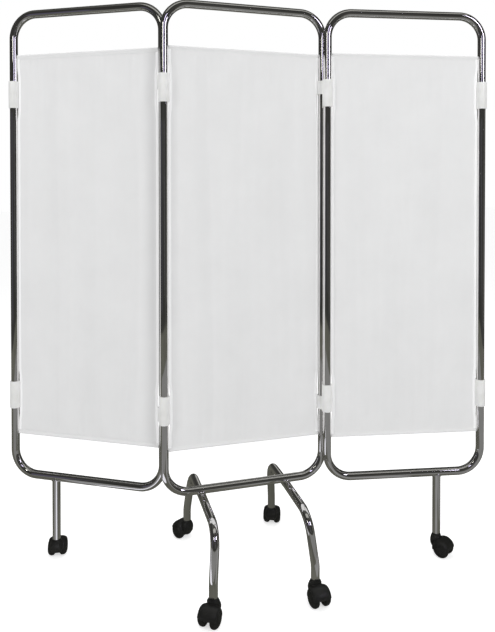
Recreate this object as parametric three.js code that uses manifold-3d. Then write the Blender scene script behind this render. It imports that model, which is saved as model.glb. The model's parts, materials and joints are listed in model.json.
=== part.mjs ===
// Ward privacy screen: three bent-tube frames with curtains, joined by nylon clips, on six twin-wheel casters.
// Millimetres, +Z up. The centre frame lies along X, the front of the screen faces -Y and the floor is Z = 0.
import * as THREE from 'three';
import { mergeVertices } from 'three/addons/utils/BufferGeometryUtils.js';
import Module from 'manifold-3d';

const wasm = await Module();
wasm.setup();

// Tube that all frames, feet and legs are bent from
const TUBE_R = 12.5;
const TUBE_WALL = 1.5;
const TUBE_SIDES = 14;
const BORE_SIDES = 8;
const BEND_STEP = THREE.MathUtils.degToRad(18);

// Frames: distances between tube axes
const PANEL_WIDTH = 500;
const PANEL_HEIGHT = 1450;
const CORNER_R = 75;
const RAIL_HEIGHT = 258;

// Clearances between pieces, and the length by which a cutter overruns what it cuts
const SEAT_GAP = 0.3;
const RUN_GAP = 0.5;
const OVERRUN = 5;

// Folding: headings are seen from above, anticlockwise from +X
const HINGE_PITCH = 30;
const LEFT_CLIP_HEADING = THREE.MathUtils.degToRad(90);
const LEFT_WING_HEADING = THREE.MathUtils.degToRad(150.7);
const RIGHT_CLIP_HEADING = THREE.MathUtils.degToRad(-80);
const RIGHT_WING_HEADING = THREE.MathUtils.degToRad(-10);

// Nylon clips: split sleeves round the stiles
const CLIP_R = 16;
const CLIP_HEIGHT = 84;
const CLIP_FROM_RAIL = 250;
const CLIP_SLIT = 3;
const SLIT_TURN = THREE.MathUtils.degToRad(60);
const CLIP_WEB = 15;
const CLIP_SIDES = 20;
const CLIP_BORE_SIDES = 16;

// Curtains and the steel rods in their hems
const CURTAIN_DROP = 125;
const CURTAIN_THICKNESS = 1.6;
const CURTAIN_SIDE_GAP = 1;
const HEM_WALL = 0.8;
const HEM_SIDES = 10;
const ROD_R = 2.5;
const ROD_SIDES = 8;
const ROD_REACH = 5;
const FOLD_DEPTH = 4;
const FOLD_COUNT = 4;
const FOLD_STEPS = 5;
const FOLD_RUN = 70;
const BOW_RUN = 25;

// Foot tubes under the centre frame
const FOOT_INSET = 115;
const SHOULDER_SPREAD = 175;
const SHOULDER_DROP = 3;
const SHOULDER_R = 63;
const FOOT_SPREAD = 200;
const FOOT_LEAN = 12;
const KNEE_HEIGHT = 100;
const KNEE_R = 90;
const CROWN_R = 500;

// Wing legs
const LEG_FROM_HINGE = 356;

// Casters
const WHEEL_R = 25;
const WHEEL_SIDES = 16;
const WHEEL_WIDTH = 22;
const WHEEL_INNER_BEVEL = 2;
const WHEEL_TREAD = 10;
const WHEEL_CHEEK_R = 19;
const WHEEL_CAP_R = 11;
const WHEEL_CAP_STEP = 1;
const WHEEL_SKIN = 5;
const WHEEL_GAP = 0.6;
const TRAIL = 24;
const WEB_WIDTH = 14;
const HOOD_R = 29.5;
const HOOD_WIDTH = 56;
const HOOD_ROUND = 10;
const HOOD_TRAILING_END = THREE.MathUtils.degToRad(25);
const HOOD_LEADING_END = THREE.MathUtils.degToRad(180);
const HOOD_STEPS = 11;
const WHEEL_WELL_GAP = 1.2;
const BOSS_R = 13.5;
const BOSS_SKIRT_R = 17;
const BOSS_SKIRT_HEIGHT = 46;
const BOSS_FOOT_R = 12;
const BOSS_TOP = 61;
const BOSS_BOTTOM = 34;
const BOSS_SIDES = 16;
const AXLE_R = 3;
const AXLE_SIDES = 10;
const STEM_R = 5;
const STEM_SIDES = 12;
const STEM_LENGTH = 48;
const STEM_FOOT = 40;
const SOCKET_FLANGE = 2.6;
const SOCKET_DEPTH = 30;
const SOCKET_WALL = 3;

// Where each caster trails to at rest, as a heading in degrees
const CASTER_HEADINGS = {
  front_left: 233,
  rear_left: 121,
  front_right: 275,
  rear_right: 67,
  left_wing: 83,
  right_wing: -60,
};

// Derived places
const TOP_RAIL_HEIGHT = RAIL_HEIGHT + PANEL_HEIGHT;
const BORE_R = TUBE_R - TUBE_WALL;
const CURTAIN_BOTTOM = RAIL_HEIGHT + CURTAIN_DROP;
const CURTAIN_TOP = TOP_RAIL_HEIGHT - CURTAIN_DROP;
const CLIP_HEIGHTS = [RAIL_HEIGHT + CLIP_FROM_RAIL, TOP_RAIL_HEIGHT - CLIP_FROM_RAIL];
const TUBE_END = BOSS_TOP + SEAT_GAP + SOCKET_FLANGE + SEAT_GAP;

// Materials
const finish = (color, metalness, roughness) => new THREE.MeshStandardMaterial({ color, metalness, roughness });
const chrome = finish(0xb9bbbd, 1, 0.12);
const steel = finish(0x9a9c9e, 1, 0.35);
const nylon = finish(0xf0f0ee, 0, 0.45);
const cloth = finish(0xe6e6e6, 0, 0.8);
const housingPlastic = finish(0x1b1b1a, 0, 0.5);
const tyrePlastic = finish(0x151515, 0, 0.6);

// A curve that passes through set stations, each with its own tangent
class StationCurve extends THREE.Curve {
  constructor(stations, closed) {
    super();
    this.stations = stations;
    this.spans = closed ? stations.length : stations.length - 1;
  }
  station(share) {
    return this.stations[Math.round(share * this.spans) % this.stations.length];
  }
  getPoint(share) {
    return this.station(share).point.clone();
  }
  getTangent(share) {
    return this.station(share).tangent.clone();
  }
  getPointAt(share) {
    return this.getPoint(share);
  }
  getTangentAt(share) {
    return this.getTangent(share);
  }
}

// A bent tube's centre line: straight runs between corners that are rounded to their radii
function bentPath(corners, radii, closed) {
  const count = corners.length;
  const stations = [];
  corners.forEach((corner, i) => {
    if (!closed && (i === 0 || i === count - 1)) {
      const other = i === 0 ? corners[1] : corners[count - 2];
      const tangent = corner.clone().sub(other).normalize();
      stations.push({ point: corner, tangent: i === 0 ? tangent.negate() : tangent });
      return;
    }
    const arriving = corner.clone().sub(corners[(i + count - 1) % count]).normalize();
    const leaving = corners[(i + 1) % count].clone().sub(corner).normalize();
    const turn = arriving.angleTo(leaving);
    const setback = radii[i] * Math.tan(turn / 2);
    const start = corner.clone().addScaledVector(arriving, -setback);
    const axis = arriving.clone().cross(leaving).normalize();
    const spoke = axis.clone().cross(arriving).multiplyScalar(-radii[i]);
    const centre = start.clone().sub(spoke);
    const steps = Math.max(1, Math.round(turn / BEND_STEP));
    for (let k = 0; k <= steps; k++) {
      const angle = (turn * k) / steps;
      const point = centre.clone().add(spoke.clone().applyAxisAngle(axis, angle));
      stations.push({ point, tangent: arriving.clone().applyAxisAngle(axis, angle) });
    }
  });
  return new StationCurve(stations, closed);
}

// Plain outlines
function polygon(radius, sides) {
  const points = [];
  for (let k = 0; k < sides; k++) {
    const angle = (2 * Math.PI * (k + 0.5)) / sides;
    points.push(new THREE.Vector2(radius * Math.cos(angle), radius * Math.sin(angle)));
  }
  return new THREE.Shape(points);
}
// The corner radius of a polygon whose flats clear a round of this radius
const clearing = (radius, sides) => radius / Math.cos(Math.PI / sides);

// A closed geometry as a solid, turned right way out
function solid(geometry) {
  geometry.deleteAttribute('normal');
  geometry.deleteAttribute('uv');
  const merged = mergeVertices(geometry.index ? geometry.toNonIndexed() : geometry, 1e-4);
  const vertProperties = new Float32Array(merged.attributes.position.array);
  const triVerts = new Uint32Array(merged.index.array);
  if (signedVolume(vertProperties, triVerts) < 0) {
    for (let t = 0; t < triVerts.length; t += 3) {
      [triVerts[t], triVerts[t + 1]] = [triVerts[t + 1], triVerts[t]];
    }
  }
  return new wasm.Manifold(new wasm.Mesh({ numProp: 3, vertProperties, triVerts }));
}
function signedVolume(positions, triangles) {
  const corner = (i) => new THREE.Vector3().fromArray(positions, 3 * triangles[i]);
  let sum = 0;
  for (let t = 0; t < triangles.length; t += 3) {
    sum += corner(t).dot(corner(t + 1).cross(corner(t + 2)));
  }
  return sum / 6;
}
function geometryOf(manifold) {
  const mesh = manifold.getMesh();
  const geometry = new THREE.BufferGeometry();
  geometry.setAttribute('position', new THREE.BufferAttribute(new Float32Array(mesh.vertProperties), 3));
  geometry.setIndex(new THREE.BufferAttribute(new Uint32Array(mesh.triVerts), 1));
  geometry.computeVertexNormals();
  return geometry;
}

// Round bars along Z, X and Y, from one end to the other
function barZ(radius, sides, low, high) {
  const bar = new THREE.ExtrudeGeometry(polygon(radius, sides), { depth: high - low, bevelEnabled: false });
  return bar.translate(0, 0, low);
}
const barX = (radius, sides, low, high) => barZ(radius, sides, low, high).rotateY(Math.PI / 2);
const barY = (radius, sides, low, high) => barZ(radius, sides, low, high).rotateX(-Math.PI / 2);

function sweep(path, radius, sides) {
  const options = { steps: path.spans, extrudePath: path, bevelEnabled: false };
  return new THREE.ExtrudeGeometry(polygon(radius, sides), options);
}

function piece(name, manifold, material) {
  const mesh = new THREE.Mesh(geometryOf(manifold), material);
  mesh.name = name;
  return mesh;
}

// A frame: one closed loop of tube, with a hole for each end of the two curtain rods
const HEM_R = clearing(ROD_R + SEAT_GAP, HEM_SIDES) + HEM_WALL;
const ROD_HEIGHTS = [CURTAIN_BOTTOM + HEM_R, CURTAIN_TOP - HEM_R];
function frameSolid() {
  const corners = [
    new THREE.Vector3(0, 0, RAIL_HEIGHT),
    new THREE.Vector3(PANEL_WIDTH, 0, RAIL_HEIGHT),
    new THREE.Vector3(PANEL_WIDTH, 0, TOP_RAIL_HEIGHT),
    new THREE.Vector3(0, 0, TOP_RAIL_HEIGHT),
  ];
  const path = bentPath(corners, corners.map(() => CORNER_R), true);
  const outside = solid(new THREE.TubeGeometry(path, path.spans, TUBE_R, TUBE_SIDES, true));
  const inside = solid(new THREE.TubeGeometry(path, path.spans, BORE_R, BORE_SIDES, true));
  let frame = outside.subtract(inside);
  const holeR = clearing(ROD_R + SEAT_GAP, ROD_SIDES);
  for (const height of ROD_HEIGHTS) {
    const hole = barX(holeR, ROD_SIDES, 0, TUBE_R + OVERRUN);
    frame = frame.subtract(solid(hole.clone().translate(0, 0, height)));
    frame = frame.subtract(solid(hole.clone().translate(PANEL_WIDTH - TUBE_R - OVERRUN, 0, height)));
  }
  return frame;
}

// A curtain rod, whose ends sit in the holes of the two stiles
function rodSolid(height) {
  const start = BORE_R - ROD_REACH;
  return solid(barX(ROD_R, ROD_SIDES, start, PANEL_WIDTH - start).translate(0, 0, height));
}

// A curtain: a sheet with soft upright folds and bowed sides, hemmed round a rod at its top and bottom
function curtainSolid(phase) {
  const plainEdge = TUBE_R + CURTAIN_SIDE_GAP;
  const bowedEdge = CLIP_R + CURTAIN_SIDE_GAP;
  const clipStart = CLIP_FROM_RAIL - CURTAIN_DROP - CLIP_HEIGHT / 2 - CURTAIN_SIDE_GAP;
  const clipEnd = clipStart + CLIP_HEIGHT + 2 * CURTAIN_SIDE_GAP;
  const half = (ROD_HEIGHTS[1] - ROD_HEIGHTS[0]) / 2;
  const lowerRows = [
    { rise: 0, edge: plainEdge },
    { rise: clipStart - BOW_RUN, edge: plainEdge },
    { rise: clipStart - HEM_R, edge: bowedEdge },
    { rise: clipEnd - HEM_R, edge: bowedEdge },
    { rise: clipEnd + BOW_RUN, edge: plainEdge },
    { rise: half, edge: plainEdge },
  ];
  const upperRows = lowerRows.slice(0, -1).reverse().map(({ rise, edge }) => ({ rise: 2 * half - rise, edge }));
  const rows = [...lowerRows, ...upperRows];
  const columns = FOLD_COUNT * FOLD_STEPS;
  const foldAt = (share, rise) => {
    const fade = Math.min(1, Math.min(rise, 2 * half - rise) / FOLD_RUN);
    const wave = Math.sin(2 * Math.PI * (FOLD_COUNT * share + phase));
    const drift = Math.sin(2 * Math.PI * (share + phase));
    return FOLD_DEPTH * fade * wave * (2 + drift) / 3;
  };
  const positions = [];
  const side = CURTAIN_THICKNESS / 2;
  for (const face of [-side, side]) {
    for (const { rise, edge } of rows) {
      for (let c = 0; c <= columns; c++) {
        const share = c / columns;
        const x = edge + share * (PANEL_WIDTH - 2 * edge);
        positions.push(x, foldAt(share, rise) + face, ROD_HEIGHTS[0] + rise);
      }
    }
  }
  const across = columns + 1;
  const back = across * rows.length;
  const triangles = [];
  const quad = (a, b, c, d) => triangles.push(a, b, c, a, c, d);
  for (let r = 0; r < rows.length - 1; r++) {
    for (let c = 0; c < columns; c++) {
      const at = r * across + c;
      quad(at, at + 1, at + across + 1, at + across);
      quad(back + at, back + at + across, back + at + across + 1, back + at + 1);
    }
    const left = r * across;
    const right = left + columns;
    quad(left, left + across, back + left + across, back + left);
    quad(right, back + right, back + right + across, right + across);
  }
  const top = (rows.length - 1) * across;
  for (let c = 0; c < columns; c++) {
    quad(c, back + c, back + c + 1, c + 1);
    quad(top + c, top + c + 1, back + top + c + 1, back + top + c);
  }
  const sheet = new THREE.BufferGeometry();
  sheet.setAttribute('position', new THREE.Float32BufferAttribute(positions, 3));
  sheet.setIndex(triangles);
  let curtain = solid(sheet);
  const boreR = clearing(ROD_R + SEAT_GAP, HEM_SIDES);
  for (const height of ROD_HEIGHTS) {
    const hem = barX(HEM_R, HEM_SIDES, plainEdge, PANEL_WIDTH - plainEdge).translate(0, 0, height);
    curtain = curtain.add(solid(hem));
  }
  for (const height of ROD_HEIGHTS) {
    const bore = barX(boreR, HEM_SIDES, 0, PANEL_WIDTH).translate(0, 0, height);
    curtain = curtain.subtract(solid(bore));
  }
  return curtain;
}

// A sleeve that snaps over a stile: its bore and the slit that lets it open
const CLIP_BORE_R = clearing(TUBE_R + SEAT_GAP, CLIP_BORE_SIDES);
function splitSleeve(sleeve, x, slitHeading) {
  const bore = barZ(CLIP_BORE_R, CLIP_BORE_SIDES, -CLIP_HEIGHT, CLIP_HEIGHT).translate(x, 0, 0);
  const slit = new THREE.BoxGeometry(CLIP_R + OVERRUN, CLIP_SLIT, 2 * CLIP_HEIGHT);
  slit.translate((CLIP_R + OVERRUN) / 2, 0, 0).rotateZ(slitHeading).translate(x, 0, 0);
  return sleeve.subtract(solid(bore)).subtract(solid(slit));
}

// A hinge clip: a full sleeve on the front stile, and a half-height one on the stile behind it
function hingeClipSolid(upright, slitHeadings) {
  const half = CLIP_HEIGHT / 2;
  const low = upright ? 0 : -half;
  const high = upright ? half : 0;
  let clip = solid(barZ(CLIP_R, CLIP_SIDES, -half, half));
  clip = clip.add(solid(barZ(CLIP_R, CLIP_SIDES, low, high).translate(HINGE_PITCH, 0, 0)));
  const web = new THREE.BoxGeometry(HINGE_PITCH, 2 * CLIP_WEB, half);
  clip = clip.add(solid(web.translate(HINGE_PITCH / 2, 0, (low + high) / 2)));
  clip = splitSleeve(clip, 0, slitHeadings[0]);
  return splitSleeve(clip, HINGE_PITCH, slitHeadings[1]);
}

// An outer clip: a single sleeve that takes the next screen
function outerClipSolid() {
  const sleeve = solid(barZ(CLIP_R, CLIP_SIDES, -CLIP_HEIGHT / 2, CLIP_HEIGHT / 2));
  return splitSleeve(sleeve, 0, Math.PI / 2);
}

// A foot tube: it crosses under the centre rail, and its two legs lean out to the casters
const FOOT_CROWN = RAIL_HEIGHT - 2 * TUBE_R - SEAT_GAP;
function footTubeSolid(lean) {
  const shoulder = FOOT_CROWN - SHOULDER_DROP;
  const corners = [
    new THREE.Vector3(lean, -FOOT_SPREAD, TUBE_END),
    new THREE.Vector3(lean, -FOOT_SPREAD, KNEE_HEIGHT),
    new THREE.Vector3(0, -SHOULDER_SPREAD, shoulder),
    new THREE.Vector3(0, 0, FOOT_CROWN),
    new THREE.Vector3(0, SHOULDER_SPREAD, shoulder),
    new THREE.Vector3(lean, FOOT_SPREAD, KNEE_HEIGHT),
    new THREE.Vector3(lean, FOOT_SPREAD, TUBE_END),
  ];
  const radii = [0, KNEE_R, SHOULDER_R, CROWN_R, SHOULDER_R, KNEE_R, 0];
  const path = bentPath(corners, radii, false);
  const ends = [corners[0].clone(), corners[corners.length - 1].clone()];
  const outside = solid(sweep(path, TUBE_R, TUBE_SIDES));
  let tube = outside.subtract(solid(sweep(path, BORE_R, BORE_SIDES)));
  for (const end of ends) {
    const mouth = barZ(BORE_R, BORE_SIDES, -OVERRUN, OVERRUN).translate(end.x, end.y, end.z);
    tube = tube.subtract(solid(mouth));
  }
  return tube;
}

// A wing leg: a straight tube whose top is coped to the rail above it
function wingLegSolid() {
  const outside = solid(barZ(TUBE_R, TUBE_SIDES, TUBE_END, RAIL_HEIGHT));
  const bore = solid(barZ(BORE_R, BORE_SIDES, TUBE_END - OVERRUN, RAIL_HEIGHT + OVERRUN));
  const railR = clearing(TUBE_R + SEAT_GAP, TUBE_SIDES);
  const rail = solid(barX(railR, TUBE_SIDES, -2 * TUBE_R, 2 * TUBE_R).translate(0, 0, RAIL_HEIGHT));
  return outside.subtract(bore).subtract(rail);
}

// A socket: the flanged plug in a tube's end that takes the caster's stem
function socketSolid() {
  const flangeBottom = BOSS_TOP + SEAT_GAP;
  const flangeTop = flangeBottom + SOCKET_FLANGE;
  const plugR = BORE_R * Math.cos(Math.PI / BORE_SIDES) - SEAT_GAP;
  const flange = solid(barZ(TUBE_R, TUBE_SIDES, flangeBottom, flangeTop));
  const plug = solid(barZ(plugR, BORE_SIDES, flangeBottom, flangeTop + SOCKET_DEPTH));
  const boreR = clearing(STEM_R + SEAT_GAP, STEM_SIDES);
  const boreTop = STEM_FOOT + STEM_LENGTH + SEAT_GAP;
  const bore = solid(barZ(boreR, STEM_SIDES, flangeBottom - OVERRUN, boreTop));
  return flange.add(plug).subtract(bore);
}

// A caster, trailing along +X from its stem: housing, stem, axle and two wheels
const AXLE_END = WEB_WIDTH / 2 + WHEEL_GAP + WHEEL_WIDTH - WHEEL_SKIN;
function stemSolid() {
  return solid(barZ(STEM_R, STEM_SIDES, STEM_FOOT, STEM_FOOT + STEM_LENGTH));
}
function axleSolid() {
  return solid(barY(AXLE_R, AXLE_SIDES, -AXLE_END, AXLE_END).translate(TRAIL, 0, WHEEL_R));
}
function housingSolid() {
  const outline = [];
  const sweepAngle = HOOD_LEADING_END - HOOD_TRAILING_END;
  const flankR = HOOD_R - HOOD_ROUND;
  for (let k = 0; k <= HOOD_STEPS; k++) {
    const angle = HOOD_TRAILING_END + (sweepAngle * k) / HOOD_STEPS;
    outline.push(new THREE.Vector2(flankR * Math.cos(angle), flankR * Math.sin(angle)));
  }
  const hood = new THREE.ExtrudeGeometry(new THREE.Shape(outline), {
    depth: HOOD_WIDTH - 2 * HOOD_ROUND,
    bevelEnabled: true,
    bevelThickness: HOOD_ROUND,
    bevelSize: HOOD_ROUND,
    bevelSegments: 3,
  });
  hood.translate(0, 0, -(HOOD_WIDTH - 2 * HOOD_ROUND) / 2).rotateX(Math.PI / 2).translate(TRAIL, 0, WHEEL_R);
  const bossProfile = [
    new THREE.Vector2(0, BOSS_BOTTOM),
    new THREE.Vector2(BOSS_FOOT_R, BOSS_BOTTOM),
    new THREE.Vector2(BOSS_SKIRT_R, BOSS_SKIRT_HEIGHT),
    new THREE.Vector2(BOSS_R, BOSS_TOP),
    new THREE.Vector2(0, BOSS_TOP),
  ];
  const boss = new THREE.LatheGeometry(bossProfile, BOSS_SIDES).rotateX(Math.PI / 2);
  let housing = solid(hood).add(solid(boss));
  const wellR = clearing(WHEEL_R + WHEEL_WELL_GAP, WHEEL_SIDES);
  const well = barY(wellR, WHEEL_SIDES, WEB_WIDTH / 2, HOOD_WIDTH).translate(TRAIL, 0, WHEEL_R);
  housing = housing.subtract(solid(well.clone())).subtract(solid(well.clone().scale(1, -1, 1)));
  const stemBore = barZ(clearing(STEM_R + SEAT_GAP, STEM_SIDES), STEM_SIDES, STEM_FOOT - SEAT_GAP, BOSS_TOP + OVERRUN);
  const axleBore = barY(clearing(AXLE_R + SEAT_GAP, AXLE_SIDES), AXLE_SIDES, -WEB_WIDTH, WEB_WIDTH);
  axleBore.translate(TRAIL, 0, WHEEL_R);
  return housing.subtract(solid(stemBore)).subtract(solid(axleBore));
}
function wheelSolid(side) {
  const rimR = clearing(WHEEL_R, WHEEL_SIDES);
  const boreR = clearing(AXLE_R + SEAT_GAP, WHEEL_SIDES);
  const boreDepth = WHEEL_WIDTH - WHEEL_SKIN + RUN_GAP;
  const profile = [
    new THREE.Vector2(0, boreDepth),
    new THREE.Vector2(boreR, boreDepth),
    new THREE.Vector2(boreR, 0),
    new THREE.Vector2(rimR - WHEEL_INNER_BEVEL, 0),
    new THREE.Vector2(rimR, WHEEL_INNER_BEVEL),
    new THREE.Vector2(rimR, WHEEL_INNER_BEVEL + WHEEL_TREAD),
    new THREE.Vector2(WHEEL_CHEEK_R, WHEEL_WIDTH - WHEEL_CAP_STEP),
    new THREE.Vector2(WHEEL_CAP_R, WHEEL_WIDTH),
    new THREE.Vector2(0, WHEEL_WIDTH),
  ];
  const wheel = new THREE.LatheGeometry(profile, WHEEL_SIDES).rotateY(Math.PI / WHEEL_SIDES);
  wheel.translate(0, WEB_WIDTH / 2 + WHEEL_GAP, 0).scale(1, side, 1).translate(TRAIL, 0, WHEEL_R);
  return solid(wheel);
}
function caster(name, x, y, heading) {
  const group = new THREE.Group();
  group.position.set(x, y, 0);
  const swivel = new THREE.Group();
  swivel.rotation.z = heading;
  swivel.add(
    piece(`${name}_caster_housing`, housingSolid(), housingPlastic),
    piece(`${name}_caster_axle`, axleSolid(), steel),
    piece(`${name}_wheel_a`, wheelSolid(1), tyrePlastic),
    piece(`${name}_wheel_b`, wheelSolid(-1), tyrePlastic),
  );
  group.add(
    swivel,
    piece(`${name}_caster_stem`, stemSolid(), steel),
    piece(`${name}_tube_socket`, socketSolid(), housingPlastic),
  );
  return group;
}

// A panel: frame, curtain and its two rods, from the hinge stile outward along +X
function panel(name, phase) {
  const group = new THREE.Group();
  group.add(
    piece(`${name}_frame`, frameSolid(), chrome),
    piece(`${name}_curtain`, curtainSolid(phase), cloth),
    piece(`${name}_bottom_rod`, rodSolid(ROD_HEIGHTS[0]), steel),
    piece(`${name}_top_rod`, rodSolid(ROD_HEIGHTS[1]), steel),
  );
  return group;
}

// A wing: a panel with a leg, its caster and the two outer clips
const CLIP_NAMES = ['bottom', 'top'];
function wing(name, heading, phase) {
  const group = panel(name, phase);
  group.rotation.z = heading;
  const leg = piece(`${name}_leg`, wingLegSolid(), chrome);
  leg.position.x = LEG_FROM_HINGE;
  const trailHeading = THREE.MathUtils.degToRad(CASTER_HEADINGS[`${name}_wing`]) - heading;
  group.add(leg, caster(`${name}_wing`, LEG_FROM_HINGE, 0, trailHeading));
  CLIP_HEIGHTS.forEach((height, i) => {
    const clip = piece(`${name}_outer_clip_${CLIP_NAMES[i]}`, outerClipSolid(), nylon);
    clip.position.set(PANEL_WIDTH, 0, height);
    group.add(clip);
  });
  return group;
}

function hingeClips(name, stile, heading, slitHeadings) {
  const group = new THREE.Group();
  group.position.copy(stile);
  group.rotation.z = heading;
  CLIP_HEIGHTS.forEach((height, i) => {
    const clip = piece(`${name}_hinge_clip_${CLIP_NAMES[i]}`, hingeClipSolid(i === 1, slitHeadings), nylon);
    clip.position.z = height;
    group.add(clip);
  });
  return group;
}

// The whole screen
const screen = new THREE.Group();
screen.add(panel('centre', 0.15));

const footSides = { left: FOOT_INSET, right: PANEL_WIDTH - FOOT_INSET };
for (const [side, x] of Object.entries(footSides)) {
  const lean = side === 'left' ? -FOOT_LEAN : FOOT_LEAN;
  const foot = piece(`${side}_foot_tube`, footTubeSolid(lean), chrome);
  foot.position.x = x;
  screen.add(foot);
  for (const [end, y] of [['front', -FOOT_SPREAD], ['rear', FOOT_SPREAD]]) {
    const name = `${end}_${side}`;
    screen.add(caster(name, x + lean, y, THREE.MathUtils.degToRad(CASTER_HEADINGS[name])));
  }
}

const leftStile = new THREE.Vector3(0, 0, 0);
const rightStile = new THREE.Vector3(PANEL_WIDTH, 0, 0);
const step = (from, heading) =>
  new THREE.Vector3(from.x + HINGE_PITCH * Math.cos(heading), from.y + HINGE_PITCH * Math.sin(heading), 0);

const leftWing = wing('left', LEFT_WING_HEADING, 0.55);
leftWing.position.copy(step(leftStile, LEFT_CLIP_HEADING));
const rightWing = wing('right', RIGHT_WING_HEADING, 0.35);
rightWing.position.copy(step(rightStile, RIGHT_CLIP_HEADING));
screen.add(
  leftWing,
  rightWing,
  hingeClips('left', leftStile, LEFT_CLIP_HEADING, [SLIT_TURN, -SLIT_TURN]),
  hingeClips('right', rightWing.position, RIGHT_CLIP_HEADING + Math.PI, [-SLIT_TURN, -SLIT_TURN]),
);

// The origin is the middle of the footprint, on the floor
screen.updateMatrixWorld(true);
const box = new THREE.Box3().setFromObject(screen);
const middle = box.getCenter(new THREE.Vector3());
screen.position.set(-middle.x, -middle.y, -box.min.z);

export default screen;
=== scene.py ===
"""Looks of the ward privacy screen: chromed tubes, curtains, clips and casters, in a plain pale studio.

Lengths are in metres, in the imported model's frame: +Z up, the floor at Z = 0 and the front facing -Y.
"""

import json
import math

import bpy
from mathutils import Matrix, Vector, noise


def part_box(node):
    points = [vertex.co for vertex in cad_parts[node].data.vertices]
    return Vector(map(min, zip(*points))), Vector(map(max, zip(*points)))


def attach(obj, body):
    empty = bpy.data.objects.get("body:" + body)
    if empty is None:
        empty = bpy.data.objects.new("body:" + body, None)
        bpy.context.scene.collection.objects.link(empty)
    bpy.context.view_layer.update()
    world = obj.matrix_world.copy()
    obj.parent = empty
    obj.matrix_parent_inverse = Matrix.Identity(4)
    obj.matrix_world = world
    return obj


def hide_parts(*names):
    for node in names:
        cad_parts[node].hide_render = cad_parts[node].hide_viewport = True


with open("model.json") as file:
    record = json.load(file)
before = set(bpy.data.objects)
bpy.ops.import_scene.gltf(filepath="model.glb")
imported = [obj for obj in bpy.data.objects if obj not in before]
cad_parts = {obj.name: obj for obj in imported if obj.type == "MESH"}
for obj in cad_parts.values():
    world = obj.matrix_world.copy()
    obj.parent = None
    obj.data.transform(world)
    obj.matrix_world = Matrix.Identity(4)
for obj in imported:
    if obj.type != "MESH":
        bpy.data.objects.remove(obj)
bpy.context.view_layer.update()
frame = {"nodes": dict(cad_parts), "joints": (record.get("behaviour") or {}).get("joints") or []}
joints = {joint["name"]: joint for joint in frame["joints"]}

# Tubes
TUBE_R = 0.0125
TUBE_SIDES = 40
TUBE_LIP = 0.0006
PANEL_HEIGHT = 1.45
CORNER_R = 0.075
BEND_STEP = math.radians(4)
SEAT_GAP = 0.0003
SHARP_ANGLE = math.radians(38)
SOFT_ANGLE = math.radians(60)

# Foot tubes
SHOULDER_SPREAD = 0.175
SHOULDER_DROP = 0.003
SHOULDER_R = 0.063
KNEE_HEIGHT = 0.1
KNEE_R = 0.09
CROWN_R = 0.5

# Weld beads: the last four are shares of the tube's or the bead's radius
BEAD_R = 0.0016
BEAD_SIDES = 10
FOOT_WELD_STEPS = 36
LEG_WELD_STEPS = 72
FOOT_WELD_SHARE = 0.55
LEG_SUNK_SHARE = 0.55
LEG_WELD_LEAST = 0.3
LEG_BEAD_OUT = 0.2

# Curtains
CLOTH_THICKNESS = 0.0007
CURTAIN_COLUMNS = 132
CURTAIN_ROWS = 210
EDGE_PLAIN = 0.0135
EDGE_BOWED = 0.0170
BOW_RUN = 0.045

# Folds, creases between them, gathers near the rods and puckers at the stitches
FOLD_DEPTH = 0.00195
FOLD_COUNT = 4
FOLD_RUN = 0.07
FOLD_LEAN = 0.05
CREASE_DEPTH = 0.0012
GATHER_DEPTH = 0.0011
GATHER_RUN = 0.16
GATHER_START = 0.03
PUCKER_DEPTH = 0.00045
PUCKER_RUN = 0.02

# The noise behind each: its scale across and down the cloth, where it starts, and its step by phase
LEAN_NOISE = (2.2, 1.3, 0, 9)
CREASE_NOISE = (17, 1.1, 3, 5)
GATHER_NOISE = (34, 3, 7, 3)
PUCKER_NOISE = (70, 8, 11, 1)

# Rods and the hems round them. The back and front of a hem are given at the stitch and above it
ROD_R = 0.0025
ROD_SIDES = 24
ROD_SEAT = 0.003
HEM_R = 0.0033
HEM_STEPS = 12
HEM_EDGE_R = 0.00374
HEM_STITCH_DROP = 0.011
HEM_FLAP = 0.003
HEM_THROAT = 0.0028
HEM_WEDGE = 0.0025
HEM_BACK = (0.0009, 0.0014)
HEM_FRONT = (-0.0001, -0.0012)

# Side hems: half of the rolled edge's section, as (distance from the cloth's edge, half thickness)
SIDE_HEM = 0.008
SIDE_HEM_OUT = 0.0006
SIDE_HEM_HALF = [(0, 0.0007), (0.0009, 0.0012), (0.004, 0.0011), (0.0074, 0.0010), (SIDE_HEM, 0.0006)]

# Stitches
STITCH_PITCH = 0.0032
STITCH_LENGTH = 0.0023
STITCH_R = 0.00022
STITCH_TIP_R = STITCH_R * 0.4
STITCH_SIDES = 6
SIDE_STITCH_IN = SIDE_HEM * 0.72
SIDE_STITCH_Y = -0.0011

# Clips. Chamfers run through these layers, as shares of their height and depth
CLIP_R = 0.016
CLIP_BORE_R = 0.0128
CLIP_HEIGHT = 0.084
CLIP_SLIT = 0.003
CLIP_WEB = 0.011
CLIP_CHAMFER = 0.0012
CHAMFER_LAYERS = [(0.0, 1.0), (0.3, 0.35), (1.0, 0.0)]
CLIP_STEP = 0.0004
SLIT_TURN = math.radians(60)
OUTER_SLITS = {"left": -math.pi / 2, "right": math.pi / 2}
ARC_STEPS = 56
LIP_STEPS = 7
CLIP_WEB_STEPS = 12

# Caster wheels
WHEEL_R = 0.025
WHEEL_WIDTH = 0.022
WHEEL_INNER = 0.0076
WHEEL_SEGMENTS = 72
AXLE_BORE_R = 0.0034
AXLE_BORE_DEPTH = 0.0105
SHOULDER_IN_R = 0.0065
SHOULDER_IN_Y = 0.0075
SHOULDER_STEPS = 10
DOME_R = 0.0150
DOME_START = 0.0095
DOME_EDGE = 0.0006
DOME_TURN = math.radians(70)
DOME_STEPS = 14

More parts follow.
